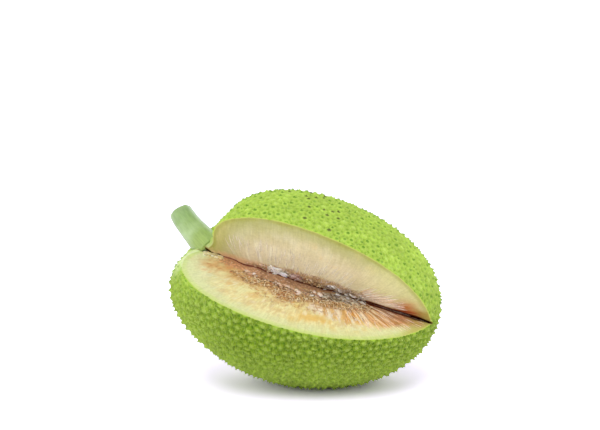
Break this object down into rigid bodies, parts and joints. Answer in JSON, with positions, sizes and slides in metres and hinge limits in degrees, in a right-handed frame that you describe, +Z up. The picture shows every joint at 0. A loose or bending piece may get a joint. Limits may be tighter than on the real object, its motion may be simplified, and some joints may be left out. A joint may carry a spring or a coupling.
{
  "type": "breadfruit",
  "caption": "Oval green breadfruit with a stub of stem and a wedge cut out of its front, showing pale flesh and a brown core.",
  "frame": {"origin": "centre of the base of the bounding box, on the surface that the fruit rests on", "axes": "+Z up, +X along the fruit from its stem end to its far end, and -Y towards the side that the wedge opens to"},
  "size_m": [0.1878, 0.1322, 0.1357],
  "materials": {
    "skin": "knobbly green rind, each knob with a small point, half matt",
    "flesh": "moist cream fibrous flesh round a brown core",
    "stem": "smooth pale green, waxy"
  },
  "bodies": {
    "root": {"fruit": "skin", "stem": "stem"}
  },
  "joints": []
}
